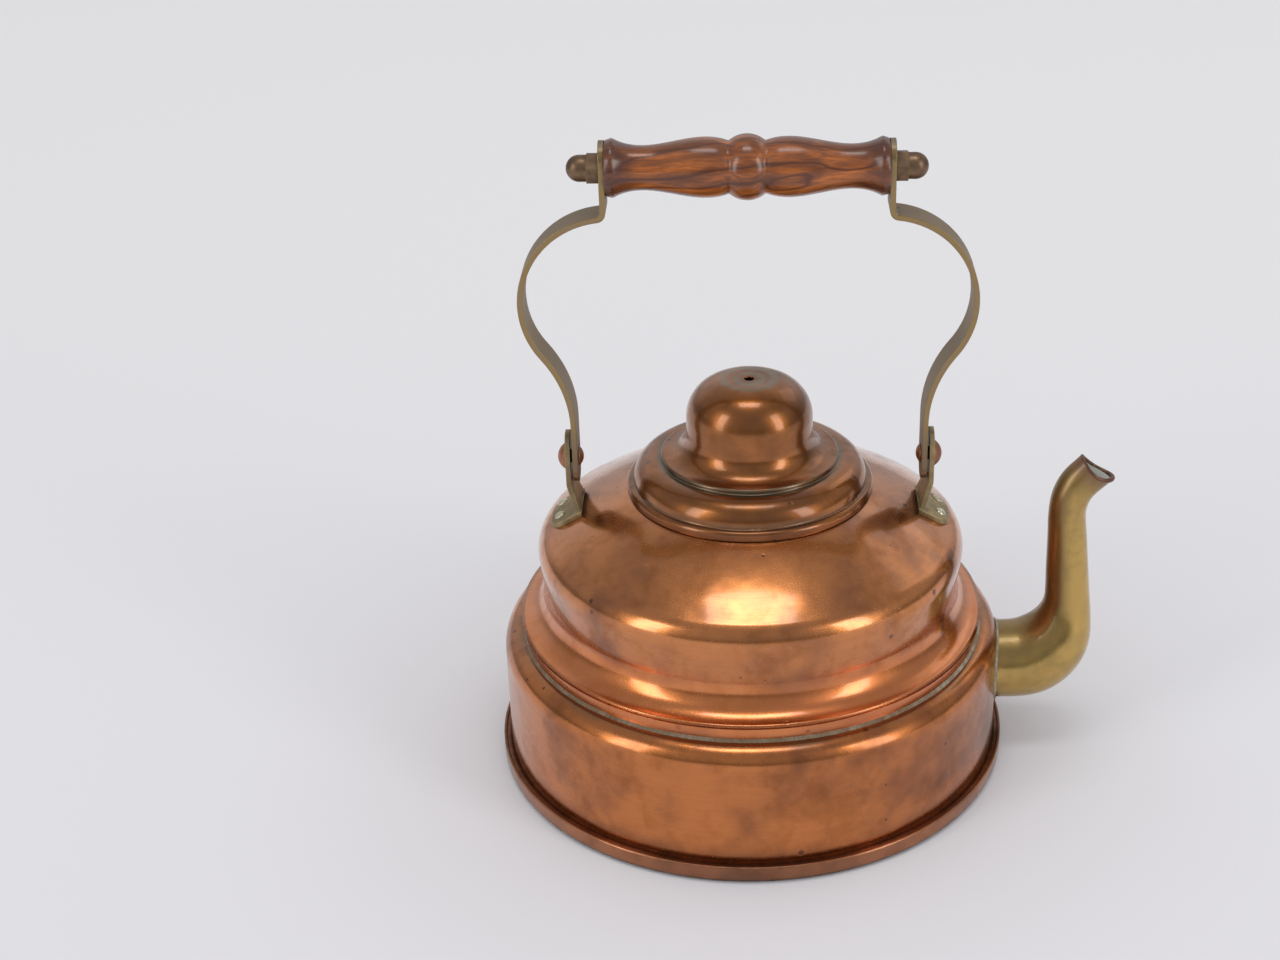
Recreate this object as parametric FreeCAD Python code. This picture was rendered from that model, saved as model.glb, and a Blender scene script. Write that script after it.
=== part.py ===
import FreeCAD
import Part
import math
import os

# Copper water kettle with a brass swan-neck spout, a loose domed lid and a swinging bail handle.
# Millimetres. The origin is the centre of the flat bottom, +Z is up and +X points along the spout.

# Copper body
copper_sheet = 1.0
rim_height = 7.0
rim_corner = 2.2
drum_radius = 95.5
drum_height = 53.9
drum_flange = 0.8
rim_gap = 1.3
drum_flange_corner = 0.3
drum_shoulder = 7.4
shoulder_ledge = 0.3
skirt_gap = 0.4
skirt_height = 6.0
ledge_corner = 0.8
lap_clearance = 0.1
lap_height = 4.0
lap_corner = 0.3
cove_radius = 10.0
ledge_width = 10.8
bulge_overhang = 4.4
bulge_corner = 9.0
wall_height = 31.3
dome_knee_inset = 21.4
dome_outer_slope = 32.44
dome_inner_slope = 20.14
dome_rounding_share = 0.843
mouth_share = 0.516
solder_width = 1.6
smallest_rounding = 0.05

# Lid
lid_sheet = 0.9
lid_overhang = 4.1
lid_seat_clearance = 0.1
lid_rim_height = 3.5
lid_rim_corner = 1.5
lid_brim = 2.5
lid_roll_height = 8.7
lid_roll_corner = 8.2
lid_groove_corner = 0.6
lid_roll_width = 10.4
lid_step_height = 1.9
lid_step_corner = 0.8
bell_brim = 9.7
bell_height = 29.0
bell_flare = 8.2
bell_top_share = 0.694
vent_radius = 1.9
collar_sheet = 0.9
collar_clearance = 0.8
collar_depth = 8.0

# Spout: its back outline faces the kettle, its front outline faces away and ends in the beak.
# Each "out" is measured from the drum's wall, each "rise" from the middle of the spout's root.
spout_wall = 1.5
spout_root_height = 32.3
spout_root_radius = 15.3
spout_inset = 7.0
spout_back_out = 18.8
spout_back_elbow = 14.0
spout_back_neck_out = 17.5
spout_back_neck_rise = 79.6
spout_back_neck_bend = 30.0
spout_back_tip_out = 28.9
spout_back_tip_rise = 89.0
spout_front_out = 40.6
spout_front_elbow = 29.0
spout_front_neck_out = 31.3
spout_front_neck_rise = 70.2
spout_front_neck_bend = 13.0
spout_beak_out = 41.7
spout_beak_rise = 79.7
spout_mouth_half_width = 5.9
spout_mouth_lip = 0.9
spout_mouth_dip = 2.2
spout_overrun = 2.0
spout_solder_height = 0.8
spout_ring_points = 16
spout_root_rings = 2
spout_elbow_rings = 5
spout_run_rings = 4
spout_neck_rings = 3
spout_neck_turn = 50.0

# Bail handle
pivot_inset = 16.6
pivot_rise = 20.8
strap_sheet = 2.0
strap_width = 13.0
strap_end_reach = 9.8
strap_sweep = 45.0
bow_radius = 32.4
bow_overhang = 16.8
bow_rise = 62.6
tab_bend = 2.5
tab_end_reach = 9.8
grip_rise = 111.7
grip_length = 99.4
grip_bead_half = 6.4
grip_bead_radius = 11.6
grip_groove_radius = 9.2
grip_barrel_radius = 10.6
grip_barrel_place = 14.5
grip_waist_radius = 7.8
grip_waist_place = 37.0
grip_flare_radius = 10.45
grip_flare_inset = 2.6
grip_end_radius = 9.6
rod_radius = 3.0
rod_clearance = 0.1
thread_fit = 0.02
rod_end_inset = 2.5
nut_flats = 10.0
nut_hex_height = 4.3
nut_dome_radius = 4.7
nut_height = 11.6
nut_turn = 48.0

# Lugs and rivets
lug_sheet = 1.8
lug_bend = 3.0
lug_ear_gap = 0.9
lug_ear_reach = 10.2
lug_ear_width = 13.0
lug_neck_drop = 9.6
lug_lean = 3.6
lug_foot_half_length = 10.0
lug_foot_width = 12.0
lug_foot_corner = 6.5
foot_rivet_spacing = 10.4
foot_rivet_shift = 1.6
foot_rivet_inset = 7.0
foot_rivet_radius = 1.5
foot_rivet_head_radius = 2.3
foot_rivet_head_height = 1.2
foot_rivet_bore = 20.0
pivot_radius = 2.5
pivot_clearance = 0.05
pivot_head_radius = 5.1
pivot_head_height = 3.2
pivot_peen_radius = 3.6
pivot_peen_height = 1.6
pivot_end_play = 0.2
rivet_fit = 0.02

# The body's rings follow from the drum's radius, the lid's from the mouth, the bail's from the bulge.
RIM_RADIUS = drum_radius + drum_flange + rim_gap + copper_sheet
SKIRT_RADIUS = drum_radius - drum_shoulder - shoulder_ledge
NECK_RADIUS = SKIRT_RADIUS - ledge_width
BULGE_RADIUS = NECK_RADIUS + bulge_overhang
MOUTH_RADIUS = BULGE_RADIUS * mouth_share
LID_RIM_RADIUS = MOUTH_RADIUS + lid_overhang
LID_ROLL_RADIUS = LID_RIM_RADIUS - lid_brim
LID_STEP_RADIUS = LID_ROLL_RADIUS - lid_roll_width
BELL_RADIUS = LID_STEP_RADIUS - bell_brim
BELL_TOP_CORNER = (BELL_RADIUS - vent_radius) * bell_top_share
PIVOT_REACH = BULGE_RADIUS - pivot_inset
BOW_REACH = PIVOT_REACH + bow_overhang

ORIGIN = FreeCAD.Vector(0, 0, 0)
ALONG_X = FreeCAD.Vector(1, 0, 0)
ALONG_Y = FreeCAD.Vector(0, 1, 0)
UP = FreeCAD.Vector(0, 0, 1)
SIDES = (("left", -1), ("right", 1))
TALL = 400.0
HEX_SIDES = 6


def flat(x, z):
    """A point of the upright plane through the spout and the handle."""
    return FreeCAD.Vector(x, 0, z)


def rounded_path(corners):
    """Open wire through (x, z, rounding) corners in the upright plane."""
    places = [flat(x, z) for x, z, rounding in corners]
    edges = []
    start = places[0]
    for index in range(1, len(places) - 1):
        corner = places[index]
        rounding = corners[index][2]
        back = (places[index - 1] - corner).normalize()
        onward = (places[index + 1] - corner).normalize()
        half_angle = back.getAngle(onward) / 2
        reach = rounding / math.tan(half_angle)
        inward = (back + onward).normalize()
        middle = corner + inward * (rounding / math.sin(half_angle) - rounding)
        edges.append(Part.makeLine(start, corner + back * reach))
        edges.append(Part.Arc(corner + back * reach, middle, corner + onward * reach).toShape())
        start = corner + onward * reach
    edges.append(Part.makeLine(start, places[-1]))
    return Part.Wire(edges)


def moved_left(corners, distance):
    """The same path, moved to its left by a distance, with roundings that stay concentric."""
    places = [flat(x, z) for x, z, rounding in corners]
    ways = [(after - before).normalize() for before, after in zip(places, places[1:])]
    lefts = [flat(-way.z, way.x) for way in ways]
    moved = []
    for index, place in enumerate(places):
        before = max(index - 1, 0)
        after = min(index, len(ways) - 1)
        shift = (lefts[before] + lefts[after]) * (distance / (1 + lefts[before].dot(lefts[after])))
        turn = ways[before].x * ways[after].z - ways[before].z * ways[after].x
        rounding = corners[index][2] - math.copysign(distance, turn)
        moved.append((place.x + shift.x, place.z + shift.z, max(rounding, smallest_rounding)))
    return moved


def sheet_section(corners, sheet):
    """Cut face of a sheet whose outer face follows the path and whose metal lies to its left."""
    outer = rounded_path(corners)
    inside = moved_left(corners, sheet)
    inner = rounded_path(inside)
    first = Part.makeLine(flat(*corners[0][:2]), flat(*inside[0][:2]))
    last = Part.makeLine(flat(*corners[-1][:2]), flat(*inside[-1][:2]))
    edges = outer.Edges + inner.Edges + [first, last]
    return Part.Face(Part.Wire(Part.sortEdges(edges)[0]))


def filled_section(corners):
    """Face between a path and the kettle's axis."""
    path = rounded_path(corners)
    top = corners[-1][1]
    bottom = corners[0][1]
    edges = path.Edges + [
        Part.makeLine(flat(corners[-1][0], top), flat(0, top)),
        Part.makeLine(flat(0, top), flat(0, bottom)),
        Part.makeLine(flat(0, bottom), flat(corners[0][0], bottom)),
    ]
    return Part.Face(Part.Wire(Part.sortEdges(edges)[0]))


def spun(section, axis=UP):
    """A face turned once round an axis through the origin, as a spinner's lathe does."""
    return section.revolve(ORIGIN, axis, 360)


def drum_path():
    """Outer face of the drum, from its flange on the bottom up to the collar inside the skirt."""
    flange_top = 2 * copper_sheet
    collar_radius = SKIRT_RADIUS - copper_sheet - lap_clearance
    return [
        (drum_radius + drum_flange, flange_top, 0),
        (drum_radius, flange_top, drum_flange_corner),
        (drum_radius, drum_height, drum_shoulder),
        (collar_radius, drum_height, lap_corner),
        (collar_radius, drum_height + lap_height, 0),
    ]


def shell_path():
    """Outer face of the upper shell, from the skirt up to the filling mouth."""
    foot = drum_height + skirt_gap
    ledge = foot + skirt_height
    bulge = ledge + wall_height
    knee_radius = BULGE_RADIUS - dome_knee_inset
    knee = bulge + dome_knee_inset * math.tan(math.radians(dome_outer_slope))
    inner_slope = math.radians(dome_inner_slope)
    inner_width = knee_radius - MOUTH_RADIUS
    half_turn = math.radians(dome_outer_slope - dome_inner_slope) / 2
    rounding = dome_rounding_share * inner_width / math.cos(inner_slope) / math.tan(half_turn)
    return [
        (SKIRT_RADIUS, foot, 0),
        (SKIRT_RADIUS, ledge, ledge_corner),
        (NECK_RADIUS, ledge, cove_radius),
        (BULGE_RADIUS, bulge, bulge_corner),
        (knee_radius, knee, rounding),
        (MOUTH_RADIUS, knee + inner_width * math.tan(inner_slope), 0),
    ]


def dome_height(radius):
    """Height of the shell's outer face above a radius between the mouth and the bulge."""
    bulge = shell_path()[3][1]
    plumb = Part.makeLine(flat(radius, bulge), flat(radius, bulge + TALL))
    return max(vertex.Z for vertex in rounded_path(shell_path()).section(plumb).Vertexes)


def dome_slope(radius):
    """How steeply the dome falls outward at a radius, in degrees."""
    step = 0.5
    fall = dome_height(radius - step) - dome_height(radius + step)
    return math.degrees(math.atan2(fall, 2 * step))


EAR_INSIDE = PIVOT_REACH + strap_sheet / 2 + lug_ear_gap
FOLD_RADIUS = EAR_INSIDE + lug_sheet / 2 - lug_lean
PIVOT_HEIGHT = dome_height(FOLD_RADIUS) + pivot_rise
GRIP_HEIGHT = PIVOT_HEIGHT + grip_rise


def bottom_plate():
    path = [(0, 0, 0), (RIM_RADIUS, 0, rim_corner), (RIM_RADIUS, rim_height, 0)]
    return spun(sheet_section(path, copper_sheet))


def lower_drum():
    drum = spun(sheet_section(drum_path(), copper_sheet))
    hole_radius = spout_root_radius - spout_wall
    hole = Part.makeCylinder(hole_radius, TALL, flat(0, spout_root_height), ALONG_X)
    return drum.cut(hole)


def foot_rivet_places():
    """Radius of the foot rivets and the turn of each about the kettle's axis, in degrees."""
    radius = FOLD_RADIUS + foot_rivet_inset
    places = (foot_rivet_shift - foot_rivet_spacing / 2, foot_rivet_shift + foot_rivet_spacing / 2)
    return radius, [math.degrees(math.asin(place / radius)) for place in places]


def foot_rivet_at(shape, turn):
    """A piece drawn upright at the origin, set square on the right-hand dome at a rivet's place."""
    radius, turns = foot_rivet_places()
    piece = shape.copy()
    piece.rotate(ORIGIN, ALONG_Y, dome_slope(radius))
    piece.translate(flat(radius, dome_height(radius)))
    piece.rotate(ORIGIN, UP, turn)
    return piece


def mirrored(shape, sign):
    """The right-hand piece itself, or its mirror image for the left-hand side."""
    if sign > 0:
        return shape
    return shape.mirror(ORIGIN, ALONG_X)


def rivet_bore():
    """Cutter for a foot rivet's hole, upright and centred on the origin."""
    low = flat(0, -foot_rivet_bore / 2)
    return Part.makeCylinder(foot_rivet_radius + rivet_fit, foot_rivet_bore, low, UP)


def upper_shell():
    shell = spun(sheet_section(shell_path(), copper_sheet))
    for side, sign in SIDES:
        for turn in foot_rivet_places()[1]:
            shell = shell.cut(mirrored(foot_rivet_at(rivet_bore(), turn), sign))
    return shell


def seam_solder():
    """Bead of solder run into the corner between the skirt and the drum's shoulder."""
    foot = drum_height + skirt_gap
    corners = [
        flat(SKIRT_RADIUS, foot - solder_width),
        flat(SKIRT_RADIUS + solder_width, foot - solder_width),
        flat(SKIRT_RADIUS, foot + solder_width / 2),
    ]
    bead = spun(Part.Face(Part.makePolygon(corners + corners[:1])))
    return bead.cut(spun(filled_section(drum_path())))


def spout_place(out, rise, rounding=0):
    """A corner of a spout outline, from the drum's wall and the middle of the root."""
    return drum_radius + out, spout_root_height + rise, rounding


def spout_back():
    return [
        spout_place(-spout_inset, spout_root_radius),
        spout_place(spout_back_out, spout_root_radius, spout_back_elbow),
        spout_place(spout_back_neck_out, spout_back_neck_rise, spout_back_neck_bend),
        spout_place(spout_back_tip_out, spout_back_tip_rise),
    ]


def spout_front():
    return [
        spout_place(-spout_inset, -spout_root_radius),
        spout_place(spout_front_out, -spout_root_radius, spout_front_elbow),
        spout_place(spout_front_neck_out, spout_front_neck_rise, spout_front_neck_bend),
        spout_place(spout_beak_out, spout_beak_rise),
    ]


def spout_ring(back, front, half_width):
    """Closed oval across the spout between a place on its back and one on its front."""
    centre = (back + front) / 2
    half_length = (front - back) / 2
    oval = []
    for index in range(spout_ring_points):
        angle = 2 * math.pi * index / spout_ring_points
        sideways = ALONG_Y * (half_width * math.sin(angle))
        oval.append(centre + half_length * math.cos(angle) + sideways)
    curve = Part.BSplineCurve()
    curve.interpolate(oval, PeriodicFlag=True)
    return Part.Wire(curve.toShape())


def spout_mouth():
    """Back tip, beak tip and the way that the mouth between them faces."""
    back = flat(*spout_back()[-1][:2])
    beak = flat(*spout_front()[-1][:2])
    across = (beak - back).normalize()
    return back, beak, flat(-across.z, across.x)


def spout_rays():
    """Start and angle of each line across the spout, from the root, round the elbow, to the neck."""
    elbow = rounded_path(spout_back()).Edges[1].Curve.Center
    neck = rounded_path(spout_front()).Edges[3].Curve.Center
    root_x = drum_radius - spout_inset
    rays = []
    for share in even_shares(spout_root_rings):
        rays.append((flat(root_x + (elbow.x - root_x) * share, elbow.z), -90))
    for share in even_shares(spout_elbow_rings):
        rays.append((elbow, -90 + 90 * share))
    for share in even_shares(spout_run_rings):
        rays.append((flat(elbow.x, elbow.z + (neck.z - elbow.z) * share), 0))
    for share in even_shares(spout_neck_rings):
        rays.append((neck, 180 - spout_neck_turn * share))
    return rays


def even_shares(count):
    return [index / count for index in range(count)]


def spout_places():
    """Pairs of places where the lines across the spout meet its back and its front."""
    outlines = [rounded_path(spout_back()), rounded_path(spout_front())]
    places = []
    for start, angle in spout_rays():
        way = flat(math.cos(math.radians(angle)), math.sin(math.radians(angle)))
        ray = Part.makeLine(start, start + way * TALL)
        places.append([outline.section(ray).Vertexes[0].Point for outline in outlines])
    return places


def spout_body(inset, lip, overrun):
    """Solid swan neck, its sides moved in by inset, or by lip at the mouth, its ends drawn out."""
    rings = []
    places = spout_places()
    neck_start = len(places) - spout_neck_rings
    for index, (back, front) in enumerate(places):
        across = (front - back).normalize()
        half_width = min((front - back).Length / 2, spout_root_radius)
        neck_share = max(index - neck_start, 0) / spout_neck_rings
        half_width += (spout_mouth_half_width - half_width) * neck_share
        shift = ALONG_X * (0 if rings else -overrun)
        back_side = back + across * inset + shift
        front_side = front - across * inset + shift
        rings.append(spout_ring(back_side, front_side, half_width - inset))
    back, beak, outward = spout_mouth()
    across = (beak - back).normalize() * lip
    for beyond in (0, spout_mouth_dip + overrun):
        lift = outward * beyond
        rings.append(spout_ring(back + across + lift, beak - across + lift, spout_mouth_half_width - lip))
    return Part.makeLoft(rings, True, False)


def mouth_hollow():
    """Round cutter that leaves the beak and the back of the mouth higher than its sides."""
    back, beak, outward = spout_mouth()
    half_length = (beak - back).Length / 2
    radius = (half_length ** 2 + spout_mouth_dip ** 2) / (2 * spout_mouth_dip)
    centre = (back + beak) / 2 + outward * (radius - spout_mouth_dip)
    return Part.makeCylinder(radius, TALL, centre - ALONG_Y * (TALL / 2), ALONG_Y)


def spout():
    neck = spout_body(0, 0, 0).cut(spout_body(spout_wall, spout_mouth_lip, spout_overrun))
    drum_side = Part.makeCylinder(drum_radius, TALL, flat(0, -TALL / 2), UP)
    return neck.cut(drum_side).cut(mouth_hollow())


def spout_solder():
    """Thin ring of solder round the spout's root, lying on the drum."""
    outer = Part.makeCylinder(drum_radius + spout_solder_height, TALL, flat(0, -TALL / 2), UP)
    inner = Part.makeCylinder(drum_radius, TALL, flat(0, -TALL / 2), UP)
    ring_radius = spout_root_radius + solder_width / 2
    plug = Part.makeCylinder(ring_radius, TALL, flat(0, spout_root_height), ALONG_X)
    root = Part.makeCylinder(spout_root_radius, TALL, flat(0, spout_root_height), ALONG_X)
    return plug.cut(root).common(outer.cut(inner))


def lid_path():
    """Outer face of the lid, from the rim up over the roll and the bell to the vent."""
    rim = dome_height(LID_RIM_RADIUS - lid_sheet) + lid_seat_clearance
    groove = rim + lid_rim_height
    roll = groove + lid_roll_height
    step = roll + lid_step_height
    return [
        (LID_RIM_RADIUS, rim, 0),
        (LID_RIM_RADIUS, groove, lid_rim_corner),
        (LID_ROLL_RADIUS, groove, lid_groove_corner),
        (LID_ROLL_RADIUS, roll, lid_roll_corner),
        (LID_STEP_RADIUS, roll, lid_step_corner / 2),
        (LID_STEP_RADIUS, step, lid_step_corner),
        (BELL_RADIUS, step, bell_flare),
        (BELL_RADIUS, step + bell_height, BELL_TOP_CORNER),
        (vent_radius, step + bell_height, 0),
    ]


def lid_shell():
    return spun(sheet_section(lid_path(), lid_sheet))


def lid_collar():
    """Locating ring under the lid: it hangs through the mouth and is closed by the lid's roll."""
    outer_radius = MOUTH_RADIUS - collar_clearance
    rim = lid_path()[0][1]
    roll = lid_path()[3][1]
    height = roll - rim + collar_depth
    ring = Part.makeCylinder(outer_radius, height, flat(0, rim - collar_depth), UP)
    ring = ring.cut(Part.makeCylinder(outer_radius - collar_sheet, TALL, ORIGIN, UP))
    cavity = spun(filled_section(moved_left(lid_path(), lid_sheet)))
    below = Part.makeCylinder(LID_RIM_RADIUS, rim, ORIGIN, UP)
    return ring.common(cavity.fuse(below))


def lug():
    """Right-hand lug: foot on the dome, leaf leaning outward, ear upright outside the strap."""
    fold_height = dome_height(FOLD_RADIUS)
    ear_outside = EAR_INSIDE + lug_sheet
    ear_top = PIVOT_HEIGHT + lug_ear_reach
    neck_height = PIVOT_HEIGHT - lug_neck_drop
    leaf = [
        (ear_outside - lug_lean, fold_height, 0),
        (ear_outside, neck_height, lug_bend),
        (ear_outside, ear_top, 0),
    ]
    half_foot = lug_foot_half_length
    band = sheet_section(leaf, lug_sheet)
    band.translate(ALONG_Y * -half_foot)
    sheet = band.extrude(ALONG_Y * (2 * half_foot)).common(ear_outline(fold_height, neck_height, ear_top))
    sheet = sheet.fuse(lug_foot()).cut(spun(filled_section(shell_path())))
    pivot_bore = Part.makeCylinder(pivot_radius + rivet_fit, TALL, flat(0, PIVOT_HEIGHT), ALONG_X)
    sheet = sheet.cut(pivot_bore)
    for turn in foot_rivet_places()[1]:
        sheet = sheet.cut(foot_rivet_at(rivet_bore(), turn))
    return sheet.removeSplitter()


def ear_outline(fold_height, neck_height, ear_top):
    """Block through the lug, with the outline that the leaf and the ear have from the side."""
    half_foot = lug_foot_half_length
    half_ear = lug_ear_width / 2
    shoulder = ear_top - half_ear
    low = fold_height - lug_foot_width
    sides = [
        FreeCAD.Vector(0, half_ear, shoulder),
        FreeCAD.Vector(0, half_ear, neck_height),
        FreeCAD.Vector(0, half_foot, fold_height),
        FreeCAD.Vector(0, half_foot, low),
        FreeCAD.Vector(0, -half_foot, low),
        FreeCAD.Vector(0, -half_foot, fold_height),
        FreeCAD.Vector(0, -half_ear, neck_height),
        FreeCAD.Vector(0, -half_ear, shoulder),
    ]
    edges = [Part.makeLine(begin, end) for begin, end in zip(sides, sides[1:])]
    edges.append(Part.Arc(sides[-1], FreeCAD.Vector(0, 0, ear_top), sides[0]).toShape())
    return Part.Face(Part.Wire(edges)).extrude(ALONG_X * TALL)


def lug_foot():
    """Foot of the lug: a rounded plate that follows the dome."""
    dome = shell_path()[2:]
    plate = spun(filled_section(moved_left(dome, -lug_sheet)))
    inside = FOLD_RADIUS - lug_sheet / 2
    length = 2 * lug_foot_half_length
    blank = Part.makeBox(lug_foot_width, length, TALL, FreeCAD.Vector(inside, -length / 2, 0))
    outer_edges = []
    for edge in blank.Edges:
        middle = edge.CenterOfMass
        if middle.x > inside + lug_foot_width / 2 and abs(middle.y) > lug_foot_half_length / 2:
            if edge.BoundBox.ZLength > TALL / 2:
                outer_edges.append(edge)
    blank = blank.makeFillet(lug_foot_corner, outer_edges)
    low = dome_height(inside + lug_foot_width) - lug_sheet
    return plate.common(blank).common(Part.makeBox(TALL, TALL, TALL, FreeCAD.Vector(0, -TALL / 2, low)))


def dome_head(radius, height):
    """Solid cap of a ball, flat face down on the origin."""
    ball_radius = (radius ** 2 + height ** 2) / (2 * height)
    ball = Part.makeSphere(ball_radius, flat(0, height - ball_radius), UP)
    return ball.common(Part.makeCylinder(radius, height, ORIGIN, UP))


def foot_rivet():
    """Rivet through the lug's foot and the dome, upright, with the dome's face at the origin."""
    head = dome_head(foot_rivet_head_radius, foot_rivet_head_height)
    outer_head = head.copy()
    outer_head.translate(UP * lug_sheet)
    inner_head = head.copy()
    inner_head.rotate(ORIGIN, ALONG_X, 180)
    inner_head.translate(UP * -copper_sheet)
    shank = Part.makeCylinder(foot_rivet_radius, lug_sheet + copper_sheet, flat(0, -copper_sheet), UP)
    return shank.fuse([outer_head, inner_head]).removeSplitter()


def lug_rivets():
    """The pair in the right-hand foot, each head closed down on the curve of the metal under it."""
    shell = upper_shell()
    rivets = [foot_rivet_at(foot_rivet(), turn).cut(shell) for turn in foot_rivet_places()[1]]
    return Part.makeCompound(rivets)


def pivot_rivet():
    """Right-hand pivot: domed head outside the ear, shank through ear and strap, peened end inside."""
    ear_outside = EAR_INSIDE + lug_sheet
    strap_inside = PIVOT_REACH - strap_sheet / 2 - pivot_end_play
    shank_length = ear_outside - strap_inside
    shank = Part.makeCylinder(pivot_radius, shank_length, flat(strap_inside, PIVOT_HEIGHT), ALONG_X)
    head = dome_head(pivot_head_radius, pivot_head_height)
    head.rotate(ORIGIN, ALONG_Y, 90)
    head.translate(flat(ear_outside, PIVOT_HEIGHT))
    peen = dome_head(pivot_peen_radius, pivot_peen_height)
    peen.rotate(ORIGIN, ALONG_Y, -90)
    peen.translate(flat(strap_inside, PIVOT_HEIGHT))
    return shank.fuse([head, peen]).removeSplitter()


def strap_face(offset):
    """One broad face of the right-hand strap, as edges, offset outward from the strap's middle."""
    tab_x = grip_length / 2 + strap_sheet / 2
    bow = flat(BOW_REACH - bow_radius, PIVOT_HEIGHT + bow_rise)
    sweep_x = PIVOT_REACH + strap_sweep
    sweep_drop = math.sqrt((strap_sweep + bow_radius) ** 2 - (sweep_x - bow.x) ** 2)
    sweep = flat(sweep_x, bow.z - sweep_drop)
    tab_rise = math.sqrt((bow_radius + tab_bend) ** 2 - (tab_x + tab_bend - bow.x) ** 2)
    bend = flat(tab_x + tab_bend, bow.z + tab_rise)
    to_sweep = (sweep - bow).normalize()
    to_bend = (bend - bow).normalize()
    low = flat(PIVOT_REACH + offset, PIVOT_HEIGHT - strap_end_reach)
    sweep_start = flat(PIVOT_REACH + offset, sweep.z)
    sweep_end = bow + to_sweep * (bow_radius + offset)
    bow_end = bow + to_bend * (bow_radius + offset)
    tab_start = flat(tab_x + offset, bend.z)
    high = flat(tab_x + offset, GRIP_HEIGHT + tab_end_reach)
    sweep_way = (flat(-1, 0) - to_sweep).normalize()
    bend_way = (flat(-1, 0) - to_bend).normalize()
    return low, high, [
        Part.makeLine(low, sweep_start),
        Part.Arc(sweep_start, sweep + sweep_way * (strap_sweep - offset), sweep_end).toShape(),
        Part.Arc(sweep_end, bow + ALONG_X * (bow_radius + offset), bow_end).toShape(),
        Part.Arc(bow_end, bend + bend_way * (tab_bend - offset), tab_start).toShape(),
        Part.makeLine(tab_start, high),
    ]


def tongue_outline():
    """Block with the outline that both ends of the strap have when seen along the pivots."""
    half = strap_width / 2
    low = PIVOT_HEIGHT - strap_end_reach
    high = GRIP_HEIGHT + tab_end_reach
    body = Part.makeBox(TALL, strap_width, high - low - strap_width, FreeCAD.Vector(0, -half, low + half))
    bottom = Part.makeCylinder(half, TALL, flat(0, low + half), ALONG_X)
    top = Part.makeCylinder(half, TALL, flat(0, high - half), ALONG_X)
    return body.fuse([bottom, top])


def strap():
    """Right-hand strap of the bail: flat bar bent to an S, with a tongue at each end."""
    outer_low, outer_high, outer = strap_face(strap_sheet / 2)
    inner_low, inner_high, inner = strap_face(-strap_sheet / 2)
    edges = outer + inner + [Part.makeLine(outer_low, inner_low), Part.makeLine(outer_high, inner_high)]
    section = Part.Face(Part.Wire(Part.sortEdges(edges)[0]))
    section.translate(ALONG_Y * (-strap_width / 2))
    bar = section.extrude(ALONG_Y * strap_width).common(tongue_outline())
    pivot_bore = Part.makeCylinder(pivot_radius + pivot_clearance, TALL, flat(0, PIVOT_HEIGHT), ALONG_X)
    rod_bore = Part.makeCylinder(rod_radius + rod_clearance, TALL, flat(0, GRIP_HEIGHT), ALONG_X)
    return bar.cut(pivot_bore).cut(rod_bore)


def grip():
    """Turned grip: a bead in the middle, an ogee barrel and a flared end on each side."""
    half = grip_length / 2
    flare = half - grip_flare_inset
    bead = Part.Arc(
        flat(-grip_bead_half, grip_groove_radius),
        flat(0, grip_bead_radius),
        flat(grip_bead_half, grip_groove_radius),
    ).toShape()
    barrel = Part.BSplineCurve()
    barrel.interpolate([
        flat(grip_bead_half, grip_groove_radius),
        flat(grip_barrel_place, grip_barrel_radius),
        flat(grip_waist_place, grip_waist_radius),
        flat(flare, grip_flare_radius),
    ])
    barrel_edge = barrel.toShape()
    lip = Part.makeLine(flat(flare, grip_flare_radius), flat(half, grip_end_radius))
    end_face = Part.makeLine(flat(half, grip_end_radius), flat(half, 0))
    right = [barrel_edge, lip, end_face]
    left = [edge.mirror(ORIGIN, ALONG_X) for edge in right]
    middle = Part.makeLine(flat(-half, 0), flat(half, 0))
    profile = Part.Face(Part.Wire(Part.sortEdges([bead, middle] + right + left)[0]))
    wood = spun(profile, ALONG_X)
    bore = Part.makeCylinder(rod_radius + rod_clearance, TALL, flat(-TALL / 2, 0), ALONG_X)
    wood = wood.cut(bore)
    wood.translate(UP * GRIP_HEIGHT)
    return wood


def nut_face():
    """Distance from the kettle's axis to the outer face of the straps, where the nuts bear."""
    return grip_length / 2 + strap_sheet


def grip_rod():
    half = nut_face() + nut_height - rod_end_inset
    return Part.makeCylinder(rod_radius, 2 * half, flat(-half, GRIP_HEIGHT), ALONG_X)


def cap_nut():
    """Right-hand cap nut: hexagon, neck and round cap, with a blind thread for the rod."""
    corner_radius = nut_flats / 2 / math.cos(math.pi / HEX_SIDES)
    corners = []
    for index in range(HEX_SIDES + 1):
        angle = 2 * math.pi * index / HEX_SIDES + math.radians(nut_turn)
        corners.append(FreeCAD.Vector(0, corner_radius * math.cos(angle), corner_radius * math.sin(angle)))
    hexagon = Part.Face(Part.makePolygon(corners)).extrude(ALONG_X * nut_hex_height)
    cap = Part.makeCylinder(nut_dome_radius, nut_height - nut_dome_radius, ORIGIN, ALONG_X)
    ball = Part.makeSphere(nut_dome_radius, ALONG_X * (nut_height - nut_dome_radius), UP)
    blind_depth = nut_height - rod_end_inset
    thread = Part.makeCylinder(rod_radius + thread_fit, blind_depth, ORIGIN, ALONG_X)
    nut = hexagon.fuse([cap, ball]).removeSplitter().cut(thread)
    nut.translate(flat(nut_face(), GRIP_HEIGHT))
    return nut


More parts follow.
